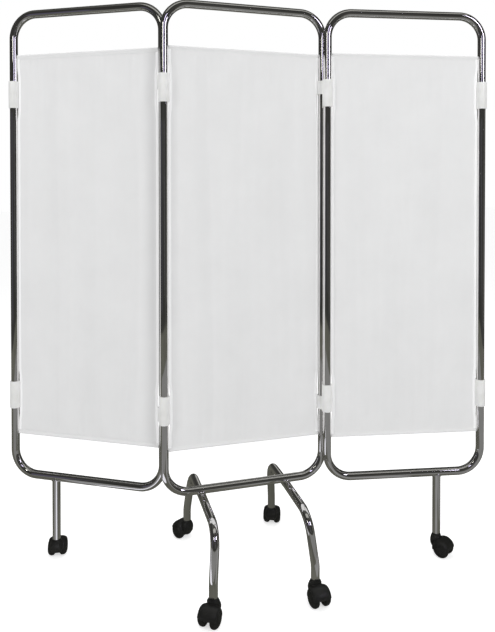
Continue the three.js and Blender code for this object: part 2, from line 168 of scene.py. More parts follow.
# Wheel faces as (radius, depth): the groove in the inner face, and the hub cap in the outer one
INNER_GROOVE = [(0.0085, 0.0), (0.0095, 0.0012), (0.0162, 0.0012), (0.0172, 0.0003)]
HUB_CAP = [(0.0150, 0.0012), (0.0144, 0.0018), (0.0138, 0.0012), (0.0110, 0.0004)]
HUB_CAP += [(0.0100, 0.0002), (0.0094, 0.0010), (0.0088, 0.0002), (0.0060, 0.0)]

# Caster hoods, with angles round the axle from the trailing side
HOOD_R = 0.0295
HOOD_FLAT = 0.010
HOOD_ROUND_R = 0.0100
HOOD_ROUND_Y = 0.0180
HOOD_ROUND_TURN = math.radians(80)
HOOD_ROUND_STEPS = 16
HOOD_TRAILING = math.radians(12)
HOOD_LEADING = math.radians(192)
HOOD_STEPS = 48
HOOD_LIP_R = 0.0009
HOOD_LIP_Y = 0.0006
WELL_GAP = 0.0016
WELL_TURN = math.radians(50)
WELL_STEPS = 10
HOUSING_VOXEL = 0.0008
HOUSING_SOFTENING = 6

# The plate between the wheels. Its lower edge is given as (degrees round the axle, radius)
WEB_R = 0.0285
WEB_HALF = 0.0070
WEB_STEPS = 32
WEB_LOWER_EDGE = [(196, 0.0247), (208, 0.0140), (232, 0.0084), (312, 0.0078), (350, 0.0112), (364, 0.0240)]

# The bell round the stem, rising, in rings of (height, middle, half length, half width)
BOSS_R = 0.0135
BOSS_TOP = 0.061
BOSS_BEVEL = 0.0008
BELL_SEGMENTS = 48
BELL_RINGS = [
    (0.0220, -0.0055, 0.0033, 0.0130),
    (0.0280, -0.0068, 0.0045, 0.0170),
    (0.0340, -0.0080, 0.0070, 0.0190),
    (0.0400, -0.0070, 0.0095, 0.0200),
    (0.0450, -0.0045, 0.0125, 0.0205),
    (0.0500, -0.0015, 0.0150, 0.0195),
    (0.0550, -0.0003, 0.0148, 0.0174),
    (BOSS_TOP - BOSS_BEVEL, 0, BOSS_R, BOSS_R),
    (BOSS_TOP, 0, BOSS_R - BOSS_BEVEL, BOSS_R - BOSS_BEVEL),
]

# Sockets in the tubes' ends
SOCKET_BORE_R = 0.0052
SOCKET_PLUG_R = 0.0095
SOCKET_PLUG_HEIGHT = 0.008
SOCKET_FLANGE = 0.0026
SOCKET_ROUND = 0.0007
SOCKET_SEGMENTS = 64
CASTER_BODIES = {
    "front_left": "centre",
    "front_right": "centre",
    "rear_left": "centre",
    "rear_right": "centre",
    "left_wing": "left_wing",
    "right_wing": "right_wing",
}

# Colours, each as its darker and its lighter tint
CHROME = ((0.81, 0.80, 0.795), (0.89, 0.88, 0.875))
STEEL = ((0.42, 0.43, 0.44), (0.58, 0.59, 0.60))
NYLON = ((0.78, 0.78, 0.765), (0.85, 0.85, 0.84))
CLOTH = ((0.775, 0.775, 0.775), (0.815, 0.815, 0.815))
# The side hems' cloth: a doubled layer is a little whiter, but this is lifted far above the plain cloth as
# painted light, to cancel the shade the stiles throw on the curtains' edges
DOUBLED_CLOTH_WITH_PAINTED_LIGHT = ((0.95, 0.95, 0.955), (0.975, 0.975, 0.98))
THREAD = ((0.72, 0.72, 0.71), (0.86, 0.86, 0.85))
HOUSING_BLACK = ((0.012, 0.012, 0.011), (0.03, 0.03, 0.028))
WHEEL_BLACK = ((0.010, 0.010, 0.009), (0.05, 0.048, 0.045))
PALE_FLOOR = ((0.84, 0.84, 0.84), (0.86, 0.86, 0.86))
ROOM_WALL = ((0.022, 0.022, 0.020), (0.060, 0.060, 0.056))
ROOM_CEILING = ((0.05, 0.05, 0.046), (0.11, 0.11, 0.10))
ROOM_GROUND = ((0.075, 0.075, 0.062), (0.15, 0.15, 0.128))

# Studio: a pale floor, white surroundings, and a dim room that only reflections show
FLOOR_SIZE = 60.0
FLOOR_GLOW = 0.56
WORLD_STRENGTH = 0.46
ROOM_R = 3.3
ROOM_FOOT = -0.01
ROOM_HEIGHT = 4.6
ROOM_SIDES = 48
GROUND_LIFT = 0.0008
PATCH_LIFT = 0.0012
PATCH_HALF_STEPS = 4
STRIP_R = 3.15
BOUNCE = 1.1

# Upright light strips: heading in degrees, then (height, half width) at the foot and the head, and colour
STRIPS = {
    "strip_low": (-97, (0.3, 0.04), (1.7, 0.12), (0.26, 0.25, 0.31)),
    "strip_front": (-104, (1.95, 0.10), (3.1, 0.20), (3.6, 3.3, 4.6)),
    "strip_key": (-57, (1.9, 0.18), (2.95, 0.28), (6.5, 6.2, 7.6)),
    "strip_high": (-133, (2.1, 0.10), (2.9, 0.13), (5.5, 5.5, 5.0)),
    "strip_left": (-160, (0.2, 0.3), (1.7, 0.4), (0.10, 0.095, 0.13)),
    "strip_right": (-28, (0.2, 0.16), (3.2, 0.2), (0.32, 0.31, 0.29)),
    "strip_back": (74, (0.4, 0.3), (3.0, 0.5), (0.45, 0.45, 0.43)),
}

# A lighter band across the ceiling: its nearer and farther distance before the screen, and its colour
CEILING_BAND = (0.9, 2.4, (0.50, 0.50, 0.47))
CEILING_BAND_HALF = ROOM_R * 0.8
CEILING_BAND_DROP = 0.01

# Light wedges on the ground: the wing whose caster each lies before, or none for the screen's middle,
# then its heading, nearer and farther reach, half angle and colour
PATCHES = {
    "patch_front": ("", -90, 0.8, 2.2, 80, (0.24, 0.24, 0.235)),
    "patch_left": ("left_wing", -88, 0.06, 0.7, 15, (1.0, 1.0, 1.08)),
    "patch_left_side": ("left_wing", -125, 0.06, 0.7, 22, (0.34, 0.34, 0.35)),
    "patch_right": ("right_wing", -123, 0.06, 0.7, 28, (0.30, 0.30, 0.30)),
}

# Lamps: place, point aimed at, width and height, and power in watts
LAMPS = {
    "key": ((1.2, -3.0, 2.4), (0, 0, 0.9), (0.9, 2.2), 44),
    "fill": ((-2.9, -1.2, 2.0), (0, 0, 0.9), (0.7, 2.2), 27),
    "top": ((0, 0.4, 3.6), (0, 0, 0), (3.0, 2.0), 34),
}

# Camera: its lens in pixels of a picture that is 632 pixels high, and where it stands
PICTURE_HEIGHT = 632
LENS_PIXELS = 611.0
SENSOR = 36.0
CAMERA_FROM_STILE = (-0.2525, -1.7930)
CAMERA_HEIGHT = 1.164
CAMERA_YAW = math.radians(-15.8)
CAMERA_PITCH = math.radians(-0.75)
CAMERA_SHIFT = -0.19
CAMERA_REACH = (0.05, 100)


# Small vector helpers
def vec(x, y, z=0.0):
    return Vector((x, y, z))


def smoothstep(low, high, value):
    share = min(1.0, max(0.0, (value - low) / (high - low)))
    return share * share * (3 - 2 * share)


def fractions(count, end):
    """The ends of count equal parts of a length or turn."""
    return [end * k / count for k in range(1, count + 1)]


def middle(node):
    low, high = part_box(node)
    return (low + high) / 2


def heading_of(start, end):
    return math.atan2(end.y - start.y, end.x - start.x)


def placed(origin, heading):
    return Matrix.Translation(vec(origin.x, origin.y)) @ Matrix.Rotation(heading, 4, "Z")


# Meshes
def smooth_mesh(mesh, angle=SHARP_ANGLE):
    mesh.validate()
    mesh.shade_smooth()
    mesh.set_sharp_from_angle(angle=angle)
    return mesh


def skin(rings, count, closed=False):
    """Faces round a row of rings of count vertices each: quads between rings, and caps unless it closes."""
    faces = []
    for r in range(rings if closed else rings - 1):
        near, far = r * count, ((r + 1) % rings) * count
        for k in range(count):
            nxt = (k + 1) % count
            faces.append((near + k, near + nxt, far + nxt, far + k))
    if not closed:
        faces.append(tuple(reversed(range(count))))
        faces.append(tuple(range((rings - 1) * count, rings * count)))
    return faces


def turned_over(faces):
    return [tuple(reversed(face)) for face in faces]


def mesh_object(name, vertices, faces, material, matrix=Matrix.Identity(4)):
    mesh = bpy.data.meshes.new(name)
    mesh.from_pydata([matrix @ Vector(v) for v in vertices], [], faces)
    smooth_mesh(mesh)
    mesh.materials.append(material)
    obj = bpy.data.objects.new(name, mesh)
    bpy.context.scene.collection.objects.link(obj)
    return obj


def apply_modifiers(obj):
    graph = bpy.context.evaluated_depsgraph_get()
    graph.update()
    mesh = bpy.data.meshes.new_from_object(obj.evaluated_get(graph))
    obj.modifiers.clear()
    obj.data = mesh
    return obj


def unite(obj, others):
    for other in others:
        joined = obj.modifiers.new("united", "BOOLEAN")
        joined.operation = "UNION"
        joined.solver = "EXACT"
        joined.object = other
        apply_modifiers(obj)
        bpy.data.objects.remove(other)
    return obj


def settle(obj, body, slot_name, *nodes):
    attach(obj, body)
    if nodes:
        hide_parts(*nodes)
    return obj


# Sweeps: tubes, beads and threads
def bent_path(corners, radii, closed):
    """Stations of (point, tangent) along straight runs and round the bends between them."""
    count = len(corners)
    stations = []
    for i, corner in enumerate(corners):
        if not closed and i in (0, count - 1):
            tangent = (corners[1] - corner) if i == 0 else (corner - corners[count - 2])
            stations.append((corner.copy(), tangent.normalized()))
            continue
        arriving = (corner - corners[i - 1]).normalized()
        leaving = (corners[(i + 1) % count] - corner).normalized()
        turn = arriving.angle(leaving)
        start = corner - arriving * (radii[i] * math.tan(turn / 2))
        axis = arriving.cross(leaving).normalized()
        spoke = axis.cross(arriving) * -radii[i]
        centre = start - spoke
        steps = max(2, round(turn / BEND_STEP))
        for k in range(steps + 1):
            spin = Matrix.Rotation(turn * k / steps, 3, axis)
            stations.append((centre + spin @ spoke, spin @ arriving))
    return stations


def sweep(stations, radii, sides, closed=False):
    """Vertices and faces of a round section carried along the stations without twisting."""
    tangent = stations[0][1]
    across = tangent.orthogonal().normalized()
    vertices = []
    for (point, heading), radius in zip(stations, radii):
        across = tangent.rotation_difference(heading) @ across
        across = (across - heading * across.dot(heading)).normalized()
        tangent = heading
        beside = heading.cross(across)
        for k in range(sides):
            angle = 2 * math.pi * k / sides
            vertices.append(point + (across * math.cos(angle) + beside * math.sin(angle)) * radius)
    return vertices, skin(len(stations), sides, closed)


def tube(name, stations, closed, material, matrix):
    """A bent tube, with a small rounded lip at each open end."""
    radii = [TUBE_R] * len(stations)
    if not closed:
        first, last = stations[0], stations[-1]
        stations = (
            [first, (first[0] + first[1] * TUBE_LIP, first[1])]
            + stations[1:-1]
            + [(last[0] - last[1] * TUBE_LIP, last[1]), last]
        )
        radii = [TUBE_R - TUBE_LIP] + [TUBE_R] * (len(stations) - 2) + [TUBE_R - TUBE_LIP]
    vertices, faces = sweep(stations, radii, TUBE_SIDES, closed)
    return mesh_object(name, vertices, faces, material, matrix)


def join_meshes(obj, others):
    """Adds the other objects' meshes to obj's, as further closed shells of the same piece."""
    with bpy.context.temp_override(active_object=obj, selected_editable_objects=[obj, *others]):
        bpy.ops.object.join()
    return obj


def closed_loop(points):
    """Stations along a closed run of points."""
    count = len(points)
    return [(p, (points[(i + 1) % count] - points[i - 1]).normalized()) for i, p in enumerate(points)]


# Turned and extruded solids
def lathe(name, profile, segments, material, matrix):
    """A profile of (radius, height) points turned round Z. Points on the axis close the ends."""
    vertices, faces, rings = [], [], []
    for radius, height in profile:
        if radius == 0:
            rings.append([len(vertices)])
            vertices.append((0, 0, height))
            continue
        rings.append(list(range(len(vertices), len(vertices) + segments)))
        for k in range(segments):
            angle = 2 * math.pi * k / segments
            vertices.append((radius * math.cos(angle), radius * math.sin(angle), height))
    for low, high in zip(rings, rings[1:]):
        for k in range(segments):
            nxt = (k + 1) % segments
            corners = [low[k % len(low)], low[nxt % len(low)], high[nxt % len(high)], high[k % len(high)]]
            faces.append(tuple(dict.fromkeys(corners)))
    return mesh_object(name, vertices, faces, material, matrix)


def extruded(name, outline, low, high, material, matrix):
    """An outline in X and Y, drawn anticlockwise, raised from low to high with chamfered ends."""
    inward = []
    for i, here in enumerate(outline):
        before, after = outline[i - 1], outline[(i + 1) % len(outline)]
        run = (after - here).normalized() + (here - before).normalized()
        inward.append(vec(-run.y, run.x).normalized())
    layers = [(low + CLIP_CHAMFER * rise, inset) for rise, inset in CHAMFER_LAYERS]
    layers += [(low + high - height, inset) for height, inset in reversed(layers)]
    vertices = []
    for height, inset in layers:
        for point, normal in zip(outline, inward):
            spot = point + normal * (inset * CLIP_CHAMFER)
            vertices.append((spot.x, spot.y, height))
    return mesh_object(name, vertices, skin(len(layers), len(outline)), material, matrix)


# Materials
def new_material(name, metallic=0.0, roughness=0.5):
    material = bpy.data.materials.new(name)
    material.use_nodes = True
    shader = material.node_tree.nodes["Principled BSDF"]
    shader.inputs["Metallic"].default_value = metallic
    shader.inputs["Roughness"].default_value = roughness
    return material, shader


def feed(owner, value, socket):
    """Gives a socket a value or another node's output. The owner is a material or the world."""
    if isinstance(value, bpy.types.NodeSocket):
        owner.node_tree.links.new(value, socket)
    else:
        socket.default_value = value


def add_node(owner, kind, settings=(), **inputs):
    node = owner.node_tree.nodes.new(kind)
    for key, value in dict(settings).items():
        setattr(node, key, value)
    for key, value in inputs.items():
        feed(owner, value, node.inputs[key.replace("_", " ")])
    return node


def combined(owner, operation, first, second):
    """The output of one sum, product or comparison."""
    node = add_node(owner, "ShaderNodeMath", {"operation": operation})
    feed(owner, first, node.inputs[0])
    feed(owner, second, node.inputs[1])
    return node.outputs[0]


def object_space(material):
    return add_node(material, "ShaderNodeTexCoord").outputs["Object"]


def noise_field(material, scale, detail=3.0, roughness=0.5, vector=None):
    where = vector or object_space(material)
    facts = {"Scale": scale, "Detail": detail, "Roughness": roughness}
    return add_node(material, "ShaderNodeTexNoise", Vector=where, **facts).outputs["Fac"]


def stretched(material, scale):
    mapping = add_node(material, "ShaderNodeMapping", Vector=object_space(material), Scale=scale)
    return mapping.outputs["Vector"]


def spread(material, field, low=0.3, high=0.7, out_low=0.0, out_high=1.0):
    """A field carried from the range low to high onto the range out_low to out_high."""
    limits = {"From_Min": low, "From_Max": high, "To_Min": out_low, "To_Max": out_high}
    return add_node(material, "ShaderNodeMapRange", Value=field, **limits).outputs["Result"]


def blend_colours(material, field, first, second):
    """The output of a mix of two colours, each a triple or another node's output."""
    node = add_node(material, "ShaderNodeMix", {"data_type": "RGBA"})
    feed(material, field, node.inputs["Factor"])
    for colour, socket in zip((first, second), node.inputs[6:8]):
        feed(material, (*colour, 1) if isinstance(colour, tuple) else colour, socket)
    return node.outputs[2]


def tint(material, shader, field, tints):
    feed(material, blend_colours(material, field, *tints), shader.inputs["Base Color"])


def roughen(material, shader, field, low, high):
    feed(material, spread(material, field, out_low=low, out_high=high), shader.inputs["Roughness"])


def bump(material, shader, height, strength, distance):
    node = add_node(material, "ShaderNodeBump", Height=height, Strength=strength, Distance=distance)
    feed(material, node.outputs["Normal"], shader.inputs["Normal"])


def chrome_material():
    """Chrome with faint smudges and fine upright scratches."""
    material, shader = new_material("bright_chrome", metallic=1.0)
    smudge = noise_field(material, scale=9.0, detail=4.0, roughness=0.6)
    tint(material, shader, spread(material, smudge), CHROME)
    scratches = noise_field(material, scale=1.0, detail=2.0, vector=stretched(material, (900, 900, 60)))
    smudged = spread(material, smudge, 0.35, 0.75, 0.03, 0.075)
    scratched = spread(material, scratches, 0.55, 0.8, 0.0, 0.03)
    feed(material, combined(material, "ADD", smudged, scratched), shader.inputs["Roughness"])
    bump(material, shader, noise_field(material, scale=120.0, detail=2.0), 0.012, 0.0004)
    return material


def steel_material():
    """Plated steel with a fine grain in level lines."""
    material, shader = new_material("plated_steel", metallic=1.0)
    grain = noise_field(material, scale=1.0, roughness=0.6, vector=stretched(material, (60, 60, 1400)))
    tint(material, shader, grain, STEEL)
    roughen(material, shader, grain, 0.25, 0.42)
    bump(material, shader, grain, 0.15, 0.0002)
    return material


def nylon_material():
    """Moulded nylon, slightly translucent and faintly clouded."""
    material, shader = new_material("white_nylon", roughness=0.34)
    tint(material, shader, spread(material, noise_field(material, scale=35.0)), NYLON)
    roughen(material, shader, noise_field(material, scale=300.0), 0.28, 0.42)
    shader.inputs["Subsurface Weight"].default_value = 0.08
    shader.inputs["Subsurface Radius"].default_value = (0.004, 0.004, 0.003)
    bump(material, shader, noise_field(material, scale=900.0, detail=2.0), 0.06, 0.0003)
    return material


def black_plastic_material(name, tints, low_rough, high_rough, grain_scale):
    """Moulded plastic in its base colour, with a few spots scuffed to the lighter tint."""
    material, shader = new_material(name)
    scuff = noise_field(material, scale=60.0, detail=6.0, roughness=0.7)
    tint(material, shader, spread(material, scuff, 0.58, 0.75), tints)
    grain = noise_field(material, grain_scale, detail=2.0)
    roughen(material, shader, grain, low_rough, high_rough)
    bump(material, shader, grain, 0.12, 0.0004)
    return material


def cloth_material(name, tints):
    """White cloth whose warp and weft run along the curtain's own lengths, kept in its UV map in metres."""
    material, shader = new_material(name, roughness=0.85)
    flat = add_node(material, "ShaderNodeUVMap", {"uv_map": "cut"}).outputs["UV"]
    cloud = noise_field(material, scale=7.0, detail=4.0, roughness=0.6, vector=flat)
    tint(material, shader, spread(material, cloud, 0.25, 0.75), tints)
    wavy = {"Vector": flat, "Scale": 280.0, "Distortion": 0.6, "Detail": 1.0}
    waves = [add_node(material, "ShaderNodeTexWave", {"bands_direction": way}, **wavy) for way in ("X", "Y")]
    warp, weft = [wave.outputs["Fac"] for wave in waves]
    shader.inputs["Sheen Weight"].default_value = 0.12
    shader.inputs["Sheen Roughness"].default_value = 0.5
    bump(material, shader, combined(material, "MULTIPLY", warp, weft), 0.12, 0.00015)
    return material


def thread_material():
    material, shader = new_material("sewing_thread", roughness=0.6)
    tint(material, shader, noise_field(material, scale=1400.0, detail=1.0), THREAD)
    return material


chrome = chrome_material()
steel = steel_material()
nylon = nylon_material()
cloth = cloth_material("white_cloth", CLOTH)
# The hems' cloth is a doubled layer with painted light: much brighter than the plain cloth, so the shade
# beside the stiles does not show
hem_cloth_with_painted_light = cloth_material("doubled_cloth_with_painted_light", DOUBLED_CLOTH_WITH_PAINTED_LIGHT)
thread = thread_material()
housing_black = black_plastic_material("housing_plastic", HOUSING_BLACK, 0.36, 0.5, 900.0)
wheel_black = black_plastic_material("wheel_plastic", WHEEL_BLACK, 0.45, 0.65, 700.0)


# Where the panels stand
def joint_place(name):
    return Vector(joints[name]["pos_m"])


centre_left = joint_place("left_clip_swing")
centre_right = joint_place("right_clip_swing")
left_hinge = joint_place("left_wing_fold")
right_hinge = joint_place("right_wing_fold")
left_outer = middle("left_outer_clip_top")
right_outer = middle("right_outer_clip_top")
PANEL_WIDTH = (centre_right - centre_left).length
RAIL_LOW = middle("centre_frame").z - PANEL_HEIGHT / 2
RAIL_HIGH = RAIL_LOW + PANEL_HEIGHT
CLIP_LEVELS = {"bottom": middle("left_outer_clip_bottom").z, "top": middle("left_outer_clip_top").z}
ROD_LEVELS = {"bottom": middle("centre_bottom_rod").z, "top": middle("centre_top_rod").z}

stem_spot = joint_place("front_left_caster_swivel")
axle_spot = joint_place("front_left_wheel_a_roll")
CASTER_TRAIL = math.hypot(axle_spot.x - stem_spot.x, axle_spot.y - stem_spot.y)


def panel_facts(body, hinge, heading, phase):
    """A panel's body, its place from its hinge stile's axis, and where its folds start."""
    return {"body": body, "place": placed(hinge, heading), "phase": phase}


PANELS = {
    "centre": panel_facts("centre", centre_left, 0.0, 0.15),
    "left": panel_facts("left_wing", left_hinge, heading_of(left_hinge, left_outer), 0.55),
    "right": panel_facts("right_wing", right_hinge, heading_of(right_hinge, right_outer), 0.35),
}


# Frames, foot tubes and legs
def build_frame(name, panel):
    corners = [
        vec(0, 0, RAIL_LOW),
        vec(PANEL_WIDTH, 0, RAIL_LOW),
        vec(PANEL_WIDTH, 0, RAIL_HIGH),
        vec(0, 0, RAIL_HIGH),
    ]
    stations = bent_path(corners, [CORNER_R] * 4, True)
    loop = tube(f"{name}_frame_tube", stations, True, chrome, panel["place"])
    settle(loop, panel["body"], "chromed_tube", f"{name}_frame")


def build_foot_tube(side):
    node = f"{side}_foot_tube"
    front = joint_place(f"front_{side}_caster_swivel")
    rear = joint_place(f"rear_{side}_caster_swivel")
    low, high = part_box(node)
    crown_x = high.x - TUBE_R if side == "left" else low.x + TUBE_R
    centre_y = (front.y + rear.y) / 2
    crown_z = RAIL_LOW - 2 * TUBE_R - SEAT_GAP
    shoulder_z = crown_z - SHOULDER_DROP
    end_z = low.z
    corners = [
        vec(front.x, front.y, end_z),
        vec(front.x, front.y, KNEE_HEIGHT),
        vec(crown_x, centre_y - SHOULDER_SPREAD, shoulder_z),
        vec(crown_x, centre_y, crown_z),
        vec(crown_x, centre_y + SHOULDER_SPREAD, shoulder_z),
        vec(rear.x, rear.y, KNEE_HEIGHT),
        vec(rear.x, rear.y, end_z),
    ]
    radii = [0, KNEE_R, SHOULDER_R, CROWN_R, SHOULDER_R, KNEE_R, 0]
    foot = tube(f"{side}_foot", bent_path(corners, radii, False), False, chrome, Matrix.Identity(4))
    settle(foot, "centre", "chromed_tube", node)
    return crown_x, centre_y


def build_foot_weld(side, x, y):
    """The brazed fillet where the foot tube crosses under the rail."""
    contact = RAIL_LOW - TUBE_R - SEAT_GAP / 2
    reach = TUBE_R * FOOT_WELD_SHARE
    points, radii = [], []
    for k in range(FOOT_WELD_STEPS):
        angle = 2 * math.pi * k / FOOT_WELD_STEPS
        dx, dy = reach * math.cos(angle), reach * math.sin(angle)
        under_rail = TUBE_R - math.sqrt(TUBE_R**2 - dy**2)
        over_foot = TUBE_R - math.sqrt(TUBE_R**2 - dx**2)
        points.append(vec(x + dx, y + dy, contact + (under_rail - over_foot) / 2))
        radii.append((under_rail + over_foot) / 2 + BEAD_R / 2)
    vertices, faces = sweep(closed_loop(points), radii, BEAD_SIDES, True)
    bead = mesh_object(f"{side}_foot_weld", vertices, faces, chrome)
    settle(bead, "centre", "chromed_tube")


def build_leg(name, panel):
    """A wing's leg, from its caster up into the rail, and the weld bead round its top."""
    node = f"{name}_leg"
    upward = vec(0, 0, 1)
    end_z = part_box(node)[0].z
    path = [(vec(0, 0, end_z), upward), (vec(0, 0, RAIL_LOW - TUBE_R * LEG_SUNK_SHARE), upward)]
    turn = heading_of(vec(0, 0), panel["place"].to_3x3() @ vec(1, 0))
    place = placed(middle(node), turn)
    leg = tube(f"{name}_leg_tube", path, False, chrome, place)
    settle(leg, panel["body"], "chromed_tube", node)
    reach = TUBE_R + BEAD_R * LEG_BEAD_OUT
    points = []
    for k in range(LEG_WELD_STEPS):
        angle = 2 * math.pi * (k + 0.5) / LEG_WELD_STEPS
        x, y = reach * math.cos(angle), reach * math.sin(angle)
        under = math.sqrt(max(0.0, reach**2 - y**2))
        points.append(vec(x, y, RAIL_LOW - max(under, TUBE_R * LEG_WELD_LEAST)))
    vertices, faces = sweep(closed_loop(points), [BEAD_R] * len(points), BEAD_SIDES, True)
    bead = mesh_object(f"{name}_leg_weld", vertices, faces, chrome, place)
    settle(bead, panel["body"], "chromed_tube")


# Curtains
def edge_at(z):
    """How far the curtain's side stands in from the stile's axis: further beside the clips."""
    bow = 0.0
    for level in CLIP_LEVELS.values():
        away = abs(z - level) - CLIP_HEIGHT / 2
        bow = max(bow, 1 - smoothstep(0, BOW_RUN, away))
    return EDGE_PLAIN + (EDGE_BOWED - EDGE_PLAIN) * bow


def cloth_noise(scales, share, z, phase):
    across, down, start, step = scales
    return noise.noise(vec(share * across, z * down, start + phase * step))


def fold_at(share, z, phase):
    """How far the cloth stands out of its plane: main folds, drifting creases and puckers at the hems."""
    near = max(0.0, min(z - ROD_LEVELS["bottom"], ROD_LEVELS["top"] - z))
    fade = smoothstep(0, FOLD_RUN, near)
    where = share + FOLD_LEAN * cloth_noise(LEAN_NOISE, share, z, phase) * fade
    wave = math.sin(2 * math.pi * (FOLD_COUNT * where + phase))
    drift = math.sin(2 * math.pi * (where + phase))
    depth = FOLD_DEPTH * wave * (2 + drift) / 3
    depth += CREASE_DEPTH * cloth_noise(CREASE_NOISE, where, z, phase)
    depth *= fade
    gather = math.exp(-near / GATHER_RUN) * smoothstep(0, GATHER_START, near)
    depth += GATHER_DEPTH * gather * cloth_noise(GATHER_NOISE, share, z, phase)
    pucker = math.exp(-near / PUCKER_RUN)
    return depth + PUCKER_DEPTH * pucker * cloth_noise(PUCKER_NOISE, share, z, phase)


def hem_profile():
    """The cloth's run in Y and Z, from the end of the top hem's flap to the end of the bottom hem's."""
    stitch = -HEM_STITCH_DROP + HEM_EDGE_R
    wedge = stitch + HEM_WEDGE
    half = [(HEM_BACK[0], stitch - HEM_FLAP), (HEM_BACK[0], stitch), (HEM_BACK[1], wedge)]
    half += [(HEM_THROAT, -HEM_THROAT)]
    turns = [math.pi * k / HEM_STEPS for k in range(HEM_STEPS + 1)]
    half += [(HEM_R * math.cos(turn), HEM_R * math.sin(turn)) for turn in turns]
    half += [(-HEM_THROAT, -HEM_THROAT), (HEM_FRONT[1], wedge), (HEM_FRONT[0], stitch)]
    top = [(y, ROD_LEVELS["top"] + z) for y, z in half]
    bottom = [(y, ROD_LEVELS["bottom"] - z) for y, z in reversed(half)]
    start, end = top[-1][1], bottom[0][1]
    body = [(0.0, start + (end - start) * k / CURTAIN_ROWS) for k in range(1, CURTAIN_ROWS)]
    return top + body + bottom


def curtain_point(share, y, z, phase):
    edge = edge_at(z)
    x = edge + share * (PANEL_WIDTH - 2 * edge)
    return vec(x, y + fold_at(share, z, phase), z)


def map_cloth(obj, columns, rows):
    """Keeps each vertex's place on the flat cloth in a UV map, for a mesh made row by row."""
    layer = obj.data.uv_layers.new(name="cut")
    for loop in obj.data.loops:
        row, column = divmod(loop.vertex_index, len(columns))
        layer.data[loop.index].uv = (columns[column], rows[row])


def build_curtain(name, panel):
    profile = hem_profile()
    lengths = [0.0]
    for (y0, z0), (y1, z1) in zip(profile, profile[1:]):
        lengths.append(lengths[-1] + math.hypot(y1 - y0, z1 - z0))
    across = CURTAIN_COLUMNS + 1
    shares = [c / CURTAIN_COLUMNS for c in range(across)]
    vertices = [curtain_point(share, y, z, panel["phase"]) for y, z in profile for share in shares]
    starts = [r * across + c for r in range(len(profile) - 1) for c in range(CURTAIN_COLUMNS)]
    faces = [(at, at + across, at + across + 1, at + 1) for at in starts]
    sheet = mesh_object(f"{name}_curtain_cloth", vertices, faces, cloth, panel["place"])
    map_cloth(sheet, [share * PANEL_WIDTH for share in shares], lengths)
    shell = sheet.modifiers.new("thickness", "SOLIDIFY")
    shell.thickness = CLOTH_THICKNESS
    shell.offset = 0
    apply_modifiers(sheet)
    smooth_mesh(sheet.data, SOFT_ANGLE)
    settle(sheet, panel["body"], "curtain_cloth", f"{name}_curtain")

    pieces = [build_side_hem(name, panel, side) for side in ("inner", "outer")]
    pieces.append(build_stitches(name, panel))
    for piece in pieces:
        settle(piece, panel["body"], "curtain_cloth")
    rods = [build_rod(name, panel, level) for level in ROD_LEVELS]


def build_side_hem(name, panel, side):
    """The rolled hem along one side: a flat band folded round the cloth's edge."""
    low = ROD_LEVELS["bottom"] + HEM_STITCH_DROP - HEM_EDGE_R
    high = ROD_LEVELS["top"] - HEM_STITCH_DROP + HEM_EDGE_R
    rises = [(high - low) * r / CURTAIN_ROWS for r in range(CURTAIN_ROWS + 1)]
    section = [(0, -SIDE_HEM_HALF[0][1])] + SIDE_HEM_HALF
    section += [(x, -y) for x, y in reversed(SIDE_HEM_HALF[1:])]
    vertices = []
    for rise in rises:
        z = low + rise
        wide = PANEL_WIDTH - 2 * edge_at(z)
        for x, y in section:
            share = (x - SIDE_HEM_OUT) / wide
            if side == "outer":
                share = 1 - share
            vertices.append(curtain_point(share, 0, z, panel["phase"]) + vec(0, y, 0))
    faces = skin(len(rises), len(section))
    if side == "inner":
        faces = turned_over(faces)
    # The hem band is drawn in the hem cloth, whose extra brightness is painted light against the shade
    # beside the stiles
    band = mesh_object(f"{name}_curtain_{side}_hem", vertices, faces, hem_cloth_with_painted_light, panel["place"])
    map_cloth(band, [x for x, y in section], rises)
    return band


def build_stitches(name, panel):
    """The thread that shows along the hems: one short run of thread for each stitch."""
    vertices, faces = [], []

    def stitch(share, y, z, along):
        spot = curtain_point(share, y, z, panel["phase"])
        ends = [spot - along * (STITCH_LENGTH / 2), spot + along * (STITCH_LENGTH / 2)]
        inner = [ends[0] + along * STITCH_R, ends[1] - along * STITCH_R]
        run = [(point, along) for point in (ends[0], *inner, ends[1])]
        new_vertices, new_faces = sweep(run, [STITCH_TIP_R, STITCH_R, STITCH_R, STITCH_TIP_R], STITCH_SIDES)
        base = len(vertices)
        vertices.extend(new_vertices)
        faces.extend(tuple(base + i for i in face) for face in new_faces)

    skin_y = -(CLOTH_THICKNESS / 2 + STITCH_TIP_R)
    plain = PANEL_WIDTH - 2 * EDGE_PLAIN
    for level, sign in (("top", -1), ("bottom", 1)):
        z = ROD_LEVELS[level] + sign * (HEM_STITCH_DROP - HEM_EDGE_R)
        for k in range(int((plain - 2 * SIDE_HEM) / STITCH_PITCH)):
            stitch((SIDE_HEM + STITCH_PITCH * (k + 0.5)) / plain, skin_y, z, vec(1, 0, 0))
    low = ROD_LEVELS["bottom"] + HEM_STITCH_DROP
    high = ROD_LEVELS["top"] - HEM_STITCH_DROP
    for side in (0, 1):
        for k in range(int((high - low) / STITCH_PITCH)):
            z = low + STITCH_PITCH * (k + 0.5)
            share = SIDE_STITCH_IN / (PANEL_WIDTH - 2 * edge_at(z))
            stitch(1 - share if side else share, SIDE_STITCH_Y, z, vec(0, 0, 1))
    return mesh_object(f"{name}_curtain_stitches", vertices, faces, thread, panel["place"])


def build_rod(name, panel, level):
    z = ROD_LEVELS[level]
    inset = TUBE_R - ROD_SEAT
    path = [(vec(inset, 0, z), vec(1, 0, 0)), (vec(PANEL_WIDTH - inset, 0, z), vec(1, 0, 0))]
    vertices, faces = sweep(path, [ROD_R, ROD_R], ROD_SIDES)
    rod = mesh_object(f"{name}_{level}_hem_rod", vertices, faces, steel, panel["place"])
    settle(rod, panel["body"], "curtain_rod", f"{name}_{level}_rod")
    return rod.name


